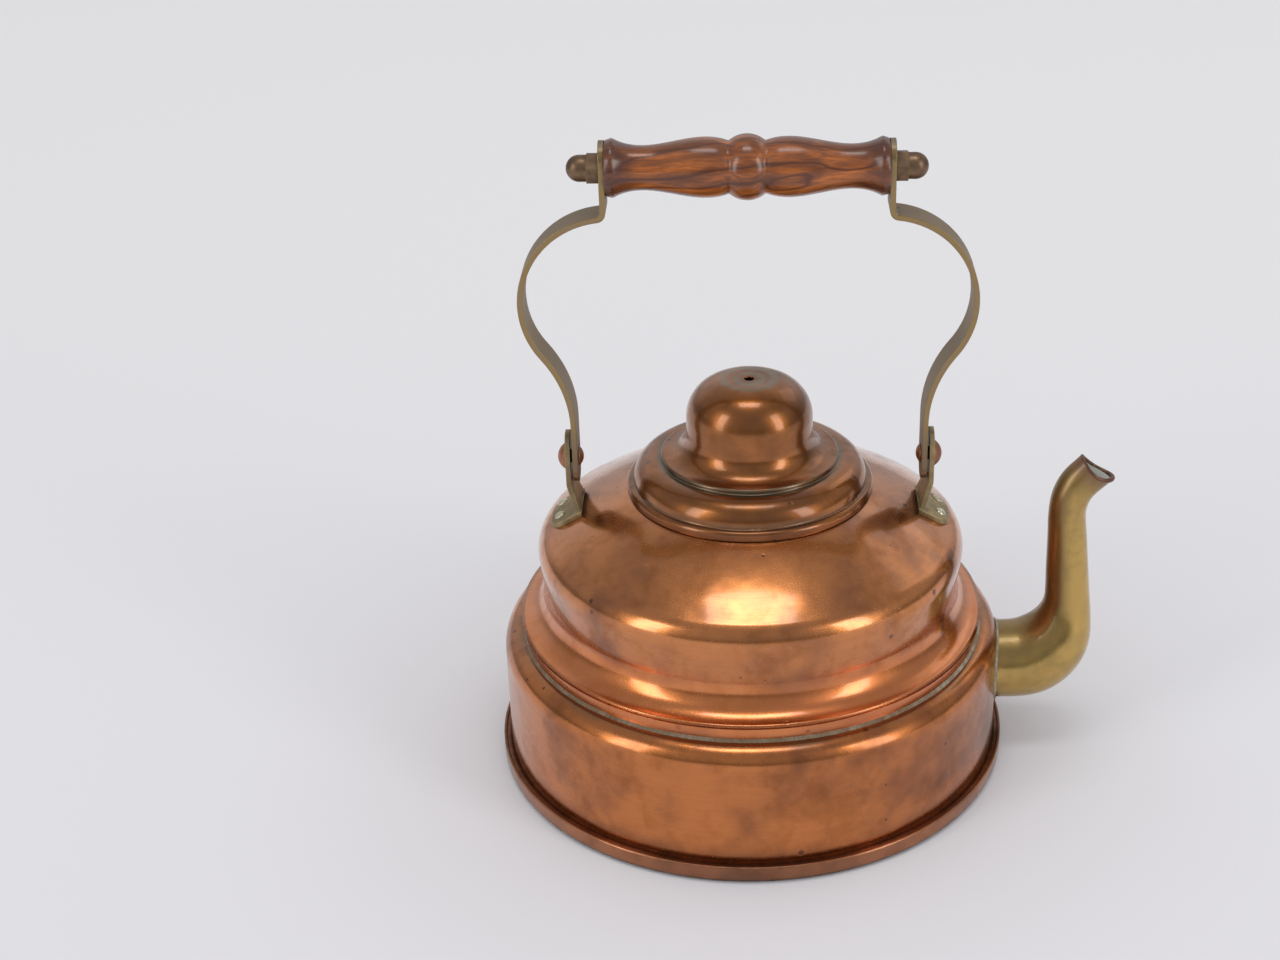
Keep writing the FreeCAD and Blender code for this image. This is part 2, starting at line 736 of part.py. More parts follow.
def build():
    pieces = {
        "bottom_plate": bottom_plate(),
        "lower_drum": lower_drum(),
        "upper_shell": upper_shell(),
        "seam_solder": seam_solder(),
        "spout": spout(),
        "spout_solder": spout_solder(),
        "lid_shell": lid_shell(),
        "lid_collar": lid_collar(),
        "grip": grip(),
        "grip_rod": grip_rod(),
    }
    paired = {
        "lug": lug(),
        "lug_rivets": lug_rivets(),
        "pivot_rivet": pivot_rivet(),
        "strap": strap(),
        "cap_nut": cap_nut(),
    }
    for side, sign in SIDES:
        for name, shape in paired.items():
            pieces[side + "_" + name] = mirrored(shape, sign)
    return pieces


os.makedirs("parts", exist_ok=True)
for node, shape in build().items():
    shape.exportStep("parts/" + node + ".step")
    state = "valid" if shape.isValid() else "BAD"
    print(node, len(shape.Solids), "solid,", round(shape.Volume, 1), "mm3,", state)
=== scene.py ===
# %% [markdown]
# A copper water kettle, finished in Blender.
#
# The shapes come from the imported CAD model, one object for each piece of metal or wood, in metres.
# This lesson gives each piece the surface it has on the real kettle: old polished copper, dull
# brass, grey solder and varnished wood. Then it lights and frames the kettle like a museum
# photograph. The frame is loaded first, because every finish below is laid on one of its pieces.

# %% Load the frame
import bpy
import math
from mathutils import Matrix, Vector


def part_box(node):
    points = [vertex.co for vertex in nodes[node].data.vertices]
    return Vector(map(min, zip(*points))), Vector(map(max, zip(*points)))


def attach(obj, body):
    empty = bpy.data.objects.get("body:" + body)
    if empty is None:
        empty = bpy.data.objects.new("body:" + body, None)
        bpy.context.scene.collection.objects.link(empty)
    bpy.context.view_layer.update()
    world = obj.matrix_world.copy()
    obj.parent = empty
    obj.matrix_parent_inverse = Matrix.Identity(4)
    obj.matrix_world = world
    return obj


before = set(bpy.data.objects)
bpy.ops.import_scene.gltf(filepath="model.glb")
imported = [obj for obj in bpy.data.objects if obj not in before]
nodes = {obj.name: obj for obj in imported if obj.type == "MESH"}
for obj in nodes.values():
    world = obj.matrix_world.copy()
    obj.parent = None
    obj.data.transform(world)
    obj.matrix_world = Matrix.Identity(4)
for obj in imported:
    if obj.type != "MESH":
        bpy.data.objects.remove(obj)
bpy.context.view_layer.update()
scene = bpy.context.scene

# %% [markdown]
# A finish is a small graph of shader nodes. Written out by hand, each graph needs many lines to
# make a node, set its numbers and link its sockets. One helper that takes numbers and sockets alike
# keeps the recipes short enough to read: a number is set on the socket, a socket is linked to it.
# The other helpers name the few steps that every recipe repeats.


# %% Helpers for shader nodes
def add(tree, kind, inputs=None, **settings):
    """Adds a node; inputs map a socket's name or place to a value or to another socket."""
    made = tree.nodes.new("ShaderNode" + kind)
    for name, value in settings.items():
        setattr(made, name, value)
    for key, value in (inputs or {}).items():
        if isinstance(value, bpy.types.NodeSocket):
            tree.links.new(value, made.inputs[key])
        else:
            made.inputs[key].default_value = value
    return made


def calculate(tree, operation, *values):
    """One step of arithmetic on numbers or sockets."""
    return add(tree, "Math", dict(enumerate(values)), operation=operation).outputs[0]


def times(tree, first, second):
    """The product of two values."""
    return calculate(tree, "MULTIPLY", first, second)


def raised(tree, value, mask, amount):
    """A value, raised by an amount where the mask is 1."""
    return calculate(tree, "MULTIPLY_ADD", mask, amount, value)


def lowered(tree, first, second):
    """The first value less the second."""
    return calculate(tree, "SUBTRACT", first, second)


def stretch(tree, value, low, high, to_low=0.0, to_high=1.0):
    """Maps a value from one range to another, held inside it, with soft ends."""
    inputs = {0: value, 1: low, 2: high, 3: to_low, 4: to_high}
    return add(tree, "MapRange", inputs, interpolation_type="SMOOTHSTEP").outputs[0]


def blend(tree, share, first, second):
    """Colour between two colours, by a share from 0 to 1."""
    mix = add(tree, "Mix", {0: share, 6: first, 7: second}, data_type="RGBA")
    return mix.outputs[2]


def cover(tree, colour, mask, share, second):
    """Lays a second colour over a colour where a mask is 1, but only a share of it."""
    return blend(tree, times(tree, mask, share), colour, second)


def noise(tree, place, scale, detail, **more):
    """Soft random waves from 0 to 1; detail adds finer waves to them."""
    inputs = {"Vector": place, "Scale": scale, "Detail": detail, **more}
    return add(tree, "TexNoise", inputs).outputs[0]


def parts_of(tree, vector):
    """The x, y and z of a vector."""
    return add(tree, "SeparateXYZ", {0: vector}).outputs


def length_of(tree, first, second):
    """The distance that two steps at right angles to each other add up to."""
    squares = [times(tree, part, part) for part in (first, second)]
    return calculate(tree, "SQRT", calculate(tree, "ADD", *squares))


def vector_step(tree, operation, first, second):
    """One step of arithmetic on two vectors, with the outputs of its node."""
    return add(tree, "VectorMath", {0: first, 1: second}, operation=operation).outputs


def paint(red, green, blue):
    """A colour as it looks on screen, from 0 to 255, turned into the light a shader needs."""
    def to_light(value):
        share = value / 255
        return share / 12.92 if share <= 0.04045 else ((share + 0.055) / 1.055) ** 2.4
    return to_light(red), to_light(green), to_light(blue), 1.0


print("helpers ready; mid copper as light:", [round(v, 3) for v in paint(142, 92, 60)])

# %% [markdown]
# Several finishes share the same marks of age. Each mark is built once, as a node group with named
# inputs and outputs, and is then placed in a material with that material's own numbers.
# The first mark is mottling: soft clouds of tarnish, as copper gets where hands, steam and polish
# have reached it unevenly. Two noises, one broad and one fine, are added, and a soft threshold
# turns their sum into a mask.


# %% A helper for node groups, and the mottle group
def new_group(name, inputs, outputs):
    """An empty node group; returns its tree, its input sockets and its output sockets."""
    group = bpy.data.node_groups.new(name, "ShaderNodeTree")
    for label, kind, value in inputs:
        socket = group.interface.new_socket(label, in_out="INPUT", socket_type="NodeSocket" + kind)
        if value is not None:
            socket.default_value = value
    for label, kind in outputs:
        group.interface.new_socket(label, in_out="OUTPUT", socket_type="NodeSocket" + kind)
    start = group.nodes.new("NodeGroupInput")
    end = group.nodes.new("NodeGroupOutput")
    return group, start.outputs, end.inputs


def use_group(tree, name, inputs):
    """Places a group in a material and returns its outputs."""
    return add(tree, "Group", inputs, node_tree=bpy.data.node_groups[name]).outputs


def clouded(tree, place, per_metre, share, softness):
    """The mask of the mottle group, with this many clouds in a metre."""
    return use_group(tree, "Mottle", {"Place": place, "Clouds per metre": per_metre,
                                      "Share": share, "Softness": softness})["Mask"]


mottle, given, result = new_group(
    "Mottle",
    [("Place", "Vector", None), ("Clouds per metre", "Float", 30.0), ("Share", "Float", 0.5),
     ("Softness", "Float", 0.12)],
    [("Mask", "Float")])
broad = noise(mottle, given["Place"], given["Clouds per metre"], 3.0, Distortion=0.6)
fine_scale = times(mottle, given["Clouds per metre"], 4.3)
fine = noise(mottle, given["Place"], fine_scale, 5.0)
both = raised(mottle, times(mottle, broad, 0.6), fine, 0.4)
edge = lowered(mottle, 1.0, given["Share"])
low = lowered(mottle, edge, given["Softness"])
high = calculate(mottle, "ADD", edge, given["Softness"])
mottle.links.new(stretch(mottle, both, low, high), result["Mask"])
print("group", mottle.name, "has", len(mottle.nodes), "nodes")

# %% [markdown]
# The second mark is pitting: small dark spots where the metal has been eaten or splashed.
# A Voronoi texture gives one cell for each possible spot, with a random colour for each cell.
# Only the cells whose random number is low enough get a spot, so the spots don't form a grid, and
# each spot's size varies with its number too.

# %% The pits group
pits, given, result = new_group(
    "Pits",
    [("Place", "Vector", None), ("Cells per metre", "Float", 120.0), ("Spot size", "Float", 0.16),
     ("Share of cells", "Float", 0.1)],
    [("Mask", "Float")])
cells = add(pits, "TexVoronoi", {"Vector": given["Place"], "Scale": given["Cells per metre"],
                                 "Randomness": 1.0}).outputs
chance = add(pits, "SeparateColor", {0: cells["Color"]}).outputs
chosen = calculate(pits, "LESS_THAN", chance[0], given["Share of cells"])
spot = times(pits, given["Spot size"], raised(pits, 0.4, chance[1], 0.8))
inside = stretch(pits, calculate(pits, "DIVIDE", cells["Distance"], spot), 0.5, 1.0, 1.0, 0.0)
pits.links.new(times(pits, inside, chosen), result["Mask"])
print("group", pits.name, "has", len(pits.nodes), "nodes")

# %% [markdown]
# The third mark is left by the lathe. Spun copper is pressed over a turning former, and polishing
# follows the same rings, so its finest lines run round the kettle's axis. The place on the surface
# is turned into an angle, a radius and a height: noise that is very fine along the last two and
# slow along the angle draws those rings.

# %% The spinning lines group
rings, given, result = new_group(
    "Spinning lines",
    [("Place", "Vector", None), ("Lines per metre", "Float", 900.0)],
    [("Lines", "Float")])
across, along, height = parts_of(rings, given["Place"])
angle = calculate(rings, "ARCTAN2", along, across)
radius = length_of(rings, across, along)
around = add(rings, "CombineXYZ", {0: times(rings, angle, 2.5),
                                   1: times(rings, radius, given["Lines per metre"]),
                                   2: times(rings, height, given["Lines per metre"])}).outputs[0]
rings.links.new(noise(rings, around, 1.0, 3.0, Roughness=0.65), result["Lines"])
print("group", rings.name, "has", len(rings.nodes), "nodes")

# %% [markdown]
# The next two marks follow the shape instead of the place. Corners are darkened, partly for grime
# that gathers where a cloth can't reach and partly as painted shade, and edges that stand out are
# rubbed bright. Ambient occlusion finds the corners: it measures how much of the open air a point
# can see, so its mask lies where shade falls. The Bevel node finds the edges: it gives the normal of
# a rounded edge, which differs from the true normal only close to an edge.

# %% The corner grime and shade group, and the rubbed edge group
# This mask is partly grime and partly painted shade: it darkens where shade falls.
grime, given, result = new_group(
    "Corner grime and shade",
    [("Reach", "Float", 0.006), ("Ragged", "Float", 0.5), ("Place", "Vector", None)],
    [("Mask", "Float")])
open_air = add(grime, "AmbientOcclusion", {"Distance": given["Reach"]}, samples=6).outputs["AO"]
speckle = noise(grime, given["Place"], 260.0, 4.0)
uneven = times(grime, given["Ragged"], lowered(grime, speckle, 0.5))
shade = calculate(grime, "ADD", lowered(grime, 1.0, open_air), uneven)
grime.links.new(stretch(grime, shade, 0.28, 0.85), result["Mask"])

rubbed, given, result = new_group(
    "Rubbed edges",
    [("Width", "Float", 0.0008), ("Place", "Vector", None)],
    [("Mask", "Float")])
rounded = add(rubbed, "Bevel", {"Radius": given["Width"]}, samples=6).outputs[0]
true_normal = add(rubbed, "NewGeometry").outputs["Normal"]
same = vector_step(rubbed, "DOT_PRODUCT", rounded, true_normal)["Value"]
worn = lowered(rubbed, 1.0, same)
chips = noise(rubbed, given["Place"], 180.0, 3.0)
rubbed.links.new(stretch(rubbed, times(rubbed, worn, chips), 0.02, 0.09), result["Mask"])
print("groups", grime.name, "and", rubbed.name, "follow the shape")

# %% [markdown]
# A polished dome also carries scratches from scouring, fine pale lines in every direction. Noise
# that is stretched long one way and squeezed the other way makes streaks, and only its highest
# crests are kept. Three such layers, each turned another way, cross each other like real scouring.

# %% The scratches group
scratches, given, result = new_group(
    "Scratches",
    [("Place", "Vector", None), ("Fineness", "Float", 1.0)],
    [("Mask", "Float")])
streak_turns = ((0.3, 0.2, 0.5), (1.2, 0.7, 2.1), (0.4, 1.5, 3.9))
streak_scale = (34.0, 1300.0, 1300.0)
crossed = 0.0
for streak_turn in streak_turns:
    turned = add(scratches, "Mapping", {0: given["Place"], 2: streak_turn}).outputs[0]
    squeezed = add(scratches, "Mapping", {0: turned, 3: streak_scale}).outputs[0]
    streaks = noise(scratches, squeezed, given["Fineness"], 1.0)
    patch = noise(scratches, turned, 38.0, 2.0)
    crest = times(scratches, stretch(scratches, streaks, 0.66, 0.76),
                  stretch(scratches, patch, 0.48, 0.62))
    crossed = calculate(scratches, "MAXIMUM", crossed, crest)
scratches.links.new(crossed, result["Mask"])
print("group", scratches.name, "has", len(scratches.nodes), "nodes")

# %% [markdown]
# Copper comes next, because most of the kettle is made of it. The body was spun from sheet, polished
# for years and left to tarnish, so it is bright orange where it was rubbed and brown in clouds; its
# corners are darkened nearly to black, partly by grime and partly as painted shade. One recipe makes
# every copper finish, and each piece gives it its own colours and its own share of tarnish. The
# metal itself stays one Principled shader with Metallic at 1. A thin film of old wax lies on the
# copper, which makes its highlights whiter than the metal would, so the shader's clear coat is used
# for it.


# %% The copper recipe
WAX_ROUGHNESS = 0.09


def start_material(name):
    """A new material with its node tree, its shader and the place on the piece."""
    material = bpy.data.materials.new(name)
    material.use_nodes = True
    tree = material.node_tree
    shader = tree.nodes["Principled BSDF"]
    place = add(tree, "TexCoord").outputs["Object"]
    return material, tree, shader, place


def set_bump(tree, shader, height, depth, soften=0.0):
    """Raises the surface by a height times a depth; soften is the radius of a rounded edge."""
    bump = add(tree, "Bump", {"Strength": 1.0, "Distance": depth, "Height": height})
    if soften:
        rounded = add(tree, "Bevel", {"Radius": soften}, samples=8)
        tree.links.new(rounded.outputs[0], bump.inputs["Normal"])
        tree.links.new(rounded.outputs[0], shader.inputs["Coat Normal"])
    tree.links.new(bump.outputs[0], shader.inputs["Normal"])


def shift_place(tree, place, shift):
    """Moves the pattern, so that two pieces of one finish don't carry the same clouds."""
    return add(tree, "Mapping", {0: place, 1: shift}).outputs[0]


def copper(name, bright, brown, dark, shift, brown_share, roughness, wax, own_marks=(), soften=0.0):
    """own_marks holds the makers of the marks that only this piece has, each with a mask and a
    colour: stains, and on the shell a painted glow of bounced light.
    """
    material, tree, shader, place = start_material(name)
    moved = shift_place(tree, place, shift)
    clouds = clouded(tree, moved, 17.0, brown_share, 0.15)
    patches = clouded(tree, moved, 62.0, 0.44, 0.1)
    spots = use_group(tree, "Pits", {"Place": moved, "Cells per metre": 130.0, "Spot size": 0.17,
                                     "Share of cells": 0.24})["Mask"]
    lines = use_group(tree, "Spinning lines", {"Place": place, "Lines per metre": 1400.0})["Lines"]
    corners = use_group(tree, "Corner grime and shade", {"Reach": 0.007, "Ragged": 0.6,
                                               "Place": place})["Mask"]
    edges = use_group(tree, "Rubbed edges", {"Width": 0.0009, "Place": place})["Mask"]
    scoured = use_group(tree, "Scratches", {"Place": moved, "Fineness": 1.0})["Mask"]
    # The colour, from the clouds up to the marks that lie on top.
    colour = blend(tree, clouds, bright, brown)
    colour = cover(tree, colour, patches, 0.18, dark)
    colour = blend(tree, stretch(tree, lines, 0.35, 0.75, 0.0, 0.14), colour, brown)
    colour = cover(tree, colour, edges, 0.5, bright)
    # The corners are darkened with the dark colour: partly grime, partly painted shade.
    colour = cover(tree, colour, corners, 0.85, dark)
    colour = cover(tree, colour, spots, 0.8, dark)
    colour = cover(tree, colour, scoured, 0.3, bright)
    for mark_of in own_marks:
        mask, mark_colour = mark_of(tree, place)
        colour = blend(tree, mask, colour, mark_colour)
    tree.links.new(colour, shader.inputs["Base Color"])
    # The gloss: tarnish, scratches, lines and grime each make the metal rougher.
    dull = raised(tree, roughness, clouds, 0.1)
    dull = raised(tree, dull, scoured, 0.12)
    dull = raised(tree, dull, lowered(tree, lines, 0.5), 0.07)
    dull = raised(tree, dull, corners, 0.3)
    tree.links.new(dull, shader.inputs["Roughness"])
    shader.inputs["Metallic"].default_value = 1.0
    # The wax is thinner on the patches and gone from the corners.
    film = raised(tree, wax, patches, -wax / 2)
    tree.links.new(times(tree, film, lowered(tree, 1.0, corners)), shader.inputs["Coat Weight"])
    shader.inputs["Coat Roughness"].default_value = WAX_ROUGHNESS
    # The surface: slow waves, dents from use, fine lines and sunken spots.
    wave = noise(tree, moved, 24.0, 1.0)
    dents = noise(tree, moved, 85.0, 1.0)
    surface = raised(tree, wave, dents, 0.34)
    surface = raised(tree, surface, lines, 0.002)
    surface = raised(tree, surface, spots, -0.12)
    set_bump(tree, shader, surface, 0.0006, soften)
    return material


print("copper recipe ready; wax roughness", WAX_ROUGHNESS)

# %% [markdown]
# Some marks are found on one piece only, and always at the same place: a brown band, a drip, a ring
# of steam, and a painted glow of bounced light in the hollow between the ledge and the bulge. Each
# has a small function of its own that returns a mask and a colour. The places are heights above the
# table, or distances from the kettle's upright axis, in metres.


# %% The marks on the copper, one of them a painted glow, and its four finishes
def height_of(tree, place):
    """The height of a place above the table."""
    return parts_of(tree, place)[2]


def radius_of(tree, place):
    """The distance of a place from the kettle's upright axis."""
    across, along, _ = parts_of(tree, place)
    return length_of(tree, across, along)


def angle_of(tree, place):
    """The angle of a place round the kettle's upright axis."""
    across, along, _ = parts_of(tree, place)
    return calculate(tree, "ARCTAN2", along, across)


def between(tree, value, limits, soft):
    """1 between two limits and 0 beyond them, with a soft edge."""
    low, high = limits
    return times(tree, stretch(tree, value, low - soft, low),
                 stretch(tree, value, high + soft, high))


def ragged_by(tree, place, value, per_metre, reach):
    """Moves a value up and down by noise, so that the edge of a mark isn't a clean line."""
    waves = noise(tree, place, per_metre, 3.0)
    return raised(tree, value, lowered(tree, waves, 0.5), reach)


def vent_stain(tree, place):
    """Steam has left two grey-green rings round the vent in the lid's top."""
    inner_ring, outer_ring = (0.0042, 0.0056), (0.0088, 0.0102)
    lid_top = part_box("lid_shell")[1].z
    radius = ragged_by(tree, place, radius_of(tree, place), 300.0, 0.003)
    both_rings = calculate(tree, "MAXIMUM", between(tree, radius, inner_ring, 0.0012),
                           between(tree, radius, outer_ring, 0.0014))
    on_top = stretch(tree, height_of(tree, place), lid_top - 0.006, lid_top - 0.003)
    return times(tree, times(tree, both_rings, on_top), 0.6), paint(126, 116, 92)


def step_grime(tree, place):
    """Grey-green grime lies in the two round steps of the lid, here more and there less."""
    inner_step, outer_groove, soft = (0.0331, 0.0344), (0.0432, 0.0446), 0.0008
    groove_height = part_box("lid_shell")[0].z + 0.0035
    radius = ragged_by(tree, place, radius_of(tree, place), 160.0, 0.002)
    low_enough = stretch(tree, height_of(tree, place), groove_height + 0.0022,
                         groove_height + 0.0006)
    groove = times(tree, between(tree, radius, outer_groove, soft), low_enough)
    steps = calculate(tree, "MAXIMUM", between(tree, radius, inner_step, soft),
                      times(tree, groove, 0.45))
    uneven = stretch(tree, noise(tree, place, 34.0, 2.0), 0.3, 0.6, 0.4, 0.85)
    return times(tree, steps, uneven), paint(104, 98, 80)


def low_brown_band(tree, place):
    """The drum is browner in a band just above the base rim."""
    band_top, band_full = 0.016, 0.008
    height = ragged_by(tree, place, height_of(tree, place), 55.0, 0.014)
    return times(tree, stretch(tree, height, band_top, band_full), 0.45), paint(104, 64, 46)


def seam_stain(tree, place):
    """Flux and damp have left a grey-green edge on the drum's shoulder, outside the seam."""
    seam_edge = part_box("seam_solder")[1].y
    width = 0.0035
    radius = ragged_by(tree, place, radius_of(tree, place), 60.0, 0.007)
    beside_seam = stretch(tree, radius, seam_edge + width, seam_edge)
    return times(tree, beside_seam, 0.5), paint(122, 104, 76)


def cove_painted_glow(tree, place):
    """A painted reflection: the hollow between the ledge and the bulge is painted bright orange, for
    light that the copper bounces into it.
    """
    hollow = (0.058, 0.066)
    height = ragged_by(tree, place, height_of(tree, place), 40.0, 0.01)
    return times(tree, between(tree, height, hollow, 0.009), 0.55), paint(228, 132, 70)


def drip_stain(tree, place):
    """A brown drip has run down the right side of the bulge, wider at its head."""
    drip_heights, head_heights = (0.066, 0.0935), (0.084, 0.091)
    thin, wide = 0.03, 0.052
    height = height_of(tree, place)
    angle = ragged_by(tree, place, angle_of(tree, place), 120.0, 0.03)
    half_width = stretch(tree, height, *head_heights, thin, wide)
    leaning = raised(tree, 0.76, height, -4.5)
    beside = calculate(tree, "ABSOLUTE", calculate(tree, "ADD", angle, leaning))
    drip = stretch(tree, calculate(tree, "DIVIDE", beside, half_width), 1.0, 0.7)
    run = between(tree, height, drip_heights, 0.0015)
    return times(tree, times(tree, drip, 0.85), run), paint(140, 78, 42)


DRUM_COPPER = copper(
    "drum_copper", bright=paint(206, 126, 68), brown=paint(138, 82, 50), dark=paint(64, 42, 32),
    shift=(0.0, 0.0, 0.0), brown_share=0.44, roughness=0.23, wax=0.5,
    own_marks=[low_brown_band, seam_stain], soften=0.0008)
SHELL_COPPER = copper(
    "shell_copper", bright=paint(210, 132, 72), brown=paint(142, 87, 53), dark=paint(74, 50, 40),
    shift=(0.12, 0.33, 0.27), brown_share=0.44, roughness=0.23, wax=0.95,
    own_marks=[cove_painted_glow, drip_stain], soften=0.0008)
LID_COPPER = copper(
    "lid_copper", bright=paint(176, 108, 50), brown=paint(122, 74, 38), dark=paint(84, 74, 58),
    shift=(0.07, 0.42, 0.2), brown_share=0.5, roughness=0.25, wax=0.7,
    own_marks=[vent_stain, step_grime], soften=0.0006)
RIM_COPPER = copper(
    "rim_copper", bright=paint(180, 118, 80), brown=paint(126, 84, 60), dark=paint(60, 44, 36),
    shift=(0.5, 0.2, 0.3), brown_share=0.5, roughness=0.27, wax=0.5, soften=0.0016)
print("copper finishes:", [m.name for m in (DRUM_COPPER, SHELL_COPPER, LID_COPPER, RIM_COPPER)])

# %% [markdown]
# Brass is yellower and duller than copper here. The spout is olive gold with dark pits and a brown
# lip, the straps have gone grey-brown on their broad faces and stay golden on their narrow edges,
# and the nuts are the darkest. The recipe is like copper's, but it takes a mask for the part of the
# piece that is most tarnished, because on each brass piece that part lies somewhere else; on the
# spout this mask also holds a painted reflection, the brown of the copper kettle on the side that
# faces it. It also takes layers that hide the metal, such as the tin inside the spout: where a layer
# lies, the surface is hardly metallic any more. The rivets are made by this recipe too, in their own
# colours. Corners are darkened, partly for grime and partly as painted shade.


# %% The brass recipe
LAYER_HIDES = 0.85


def brass(name, gold, tarnish_and_reflection, dark, shift, roughness, tarnish_and_reflection_of, pit_share=0.1, wax=0.0,
          layers=()):
    """tarnish_and_reflection_of makes the mask of the most tarnished part, which on the spout holds
    a painted reflection too; each layer has a mask and a colour.
    """
    material, tree, shader, place = start_material(name)
    moved = shift_place(tree, place, shift)
    clouds = clouded(tree, moved, 70.0, 0.45, 0.16)
    spots = use_group(tree, "Pits", {"Place": moved, "Cells per metre": 170.0, "Spot size": 0.2,
                                     "Share of cells": pit_share})["Mask"]
    corners = use_group(tree, "Corner grime and shade", {"Reach": 0.005, "Ragged": 0.7,
                                               "Place": place})["Mask"]
    edges = use_group(tree, "Rubbed edges", {"Width": 0.0006, "Place": place})["Mask"]
    brushed = noise(tree, moved, 700.0, 3.0)
    covered = tarnish_and_reflection_of(tree, place)
    colour = cover(tree, gold, clouds, 0.4, tarnish_and_reflection)
    colour = blend(tree, covered, colour, tarnish_and_reflection)
    colour = cover(tree, colour, edges, 0.7, gold)
    # The corners are darkened: partly grime, partly painted shade.
    colour = cover(tree, colour, corners, 0.8, dark)
    colour = cover(tree, colour, spots, 0.8, dark)
    shader.inputs["Metallic"].default_value = 1.0
    shader.inputs["Coat Weight"].default_value = wax
    shader.inputs["Coat Roughness"].default_value = WAX_ROUGHNESS
    bare = 1.0
    for layer_of in layers:
        mask, layer_colour = layer_of(tree, place)
        colour = blend(tree, mask, colour, layer_colour)
        bare = times(tree, bare, raised(tree, 1.0, mask, -LAYER_HIDES))
        tree.links.new(bare, shader.inputs["Metallic"])
    tree.links.new(colour, shader.inputs["Base Color"])
    dull = raised(tree, roughness, covered, 0.26)
    dull = raised(tree, dull, lowered(tree, brushed, 0.5), 0.05)
    dull = raised(tree, dull, corners, 0.25)
    tree.links.new(dull, shader.inputs["Roughness"])
    surface = raised(tree, times(tree, clouds, 0.12), spots, -0.3)
    surface = raised(tree, surface, brushed, 0.02)
    set_bump(tree, shader, surface, 0.00012, 0.0005)
    return material


print("brass recipe ready; a layer hides", LAYER_HIDES, "of the metal")

# %% [markdown]
# On the spout, most marks lie round the mouth, so their masks measure how far a place lies from the
# middle of the mouth, along the way that the mouth points. A depth below zero lies inside the tube.


# %% The tarnish of the brass pieces, the painted reflection on the spout, and the brass finishes
mouth_middle = Vector((0.1308, 0.0, 0.1166))
mouth_way = Vector((0.588, 0.0, 0.81))


def normal_of(tree):
    """The way that the surface faces."""
    return add(tree, "TexCoord").outputs["Normal"]


def from_mouth(tree, place):
    """The way from the middle of the spout's mouth to a place, and how far out it leads."""
    near = vector_step(tree, "SUBTRACT", place, mouth_middle)[0]
    return near, vector_step(tree, "DOT_PRODUCT", near, mouth_way)["Value"]


def spout_tarnish_and_reflection(tree, place):
    """Tarnish on top of the spout's root and on its neck, and a painted reflection: brown on the
    side that faces the copper kettle.
    """
    root_end, root_full = 0.118, 0.108
    neck_start, neck_full = -0.018, -0.007
    facing_x, _, facing_up = parts_of(tree, normal_of(tree))
    # Painted reflection: the side that faces the kettle is painted brown, for the copper that it
    # mirrors.
    kettle_reflection = times(tree, stretch(tree, facing_x, 0.15, -0.6), 0.75)
    outwards = ragged_by(tree, place, parts_of(tree, place)[0], 90.0, 0.014)
    root = times(tree, stretch(tree, outwards, root_end, root_full),
                 stretch(tree, facing_up, 0.25, 0.7))
    _, depth = from_mouth(tree, place)
    depth = ragged_by(tree, place, depth, 160.0, 0.006)
    neck = times(tree, stretch(tree, depth, neck_start, neck_full), 0.5)
    low_part = calculate(tree, "MAXIMUM", kettle_reflection, times(tree, root, 0.6))
    return calculate(tree, "MAXIMUM", low_part, neck)


def lip_stain(tree, place):
    """Round the edge of the lip, the brass has gone reddish brown."""
    stain_start, stain_full = -0.009, -0.002
    _, depth = from_mouth(tree, place)
    depth = ragged_by(tree, place, depth, 260.0, 0.005)
    return times(tree, stretch(tree, depth, stain_start, stain_full), 0.75), paint(98, 62, 46)


def spout_lining(tree, place):
    """The mouth is tinned inside, where a face looks towards the mouth's middle line."""
    lining_end, lining_full = -0.03, -0.02
    near, depth = from_mouth(tree, place)
    along = add(tree, "VectorMath", {0: mouth_way, "Scale": depth}, operation="SCALE").outputs[0]
    outward = vector_step(tree, "SUBTRACT", near, along)[0]
    facing = vector_step(tree, "DOT_PRODUCT", outward, normal_of(tree))["Value"]
    inside = calculate(tree, "LESS_THAN", facing, -0.0006)
    return times(tree, inside, stretch(tree, depth, lining_end, lining_full)), paint(186, 188, 178)


def broad_faces(tree, place):
    """Everything but the narrow edges of a strap, which face along Y."""
    return stretch(tree, calculate(tree, "ABSOLUTE", parts_of(tree, normal_of(tree))[1]), 0.85, 0.5)


def strap_foot(tree, place):
    """Low on each strap, near the pivot, the strap is browner."""
    foot_end, foot_full = 0.142, 0.122
    height = ragged_by(tree, place, height_of(tree, place), 120.0, 0.008)
    return times(tree, stretch(tree, height, foot_end, foot_full), 0.6), paint(88, 68, 54)


def everywhere(tree, place):
    """Tarnish in wide clouds over the whole piece."""
    return clouded(tree, place, 90.0, 0.55, 0.2)


SPOUT_BRASS = brass(
    "spout_brass", gold=paint(196, 162, 92), tarnish_and_reflection=paint(118, 98, 66), dark=paint(70, 54, 36),
    shift=(0.1, 0.0, 0.2), roughness=0.22, tarnish_and_reflection_of=spout_tarnish_and_reflection, pit_share=0.06, wax=0.4,
    layers=[lip_stain, spout_lining])
STRAP_BRASS = brass(
    "strap_brass", gold=paint(158, 134, 94), tarnish_and_reflection=paint(150, 134, 114), dark=paint(66, 54, 44),
    shift=(0.2, 0.3, 0.0), roughness=0.33, tarnish_and_reflection_of=broad_faces, layers=[strap_foot])
LUG_BRASS = brass(
    "lug_brass", gold=paint(188, 166, 120), tarnish_and_reflection=paint(144, 128, 98), dark=paint(64, 54, 40),
    shift=(0.4, 0.1, 0.1), roughness=0.36, tarnish_and_reflection_of=everywhere, wax=0.2)
NUT_BRASS = brass(
    "nut_brass", gold=paint(146, 118, 90), tarnish_and_reflection=paint(104, 86, 72), dark=paint(50, 40, 34),
    shift=(0.0, 0.5, 0.1), roughness=0.3, tarnish_and_reflection_of=everywhere)
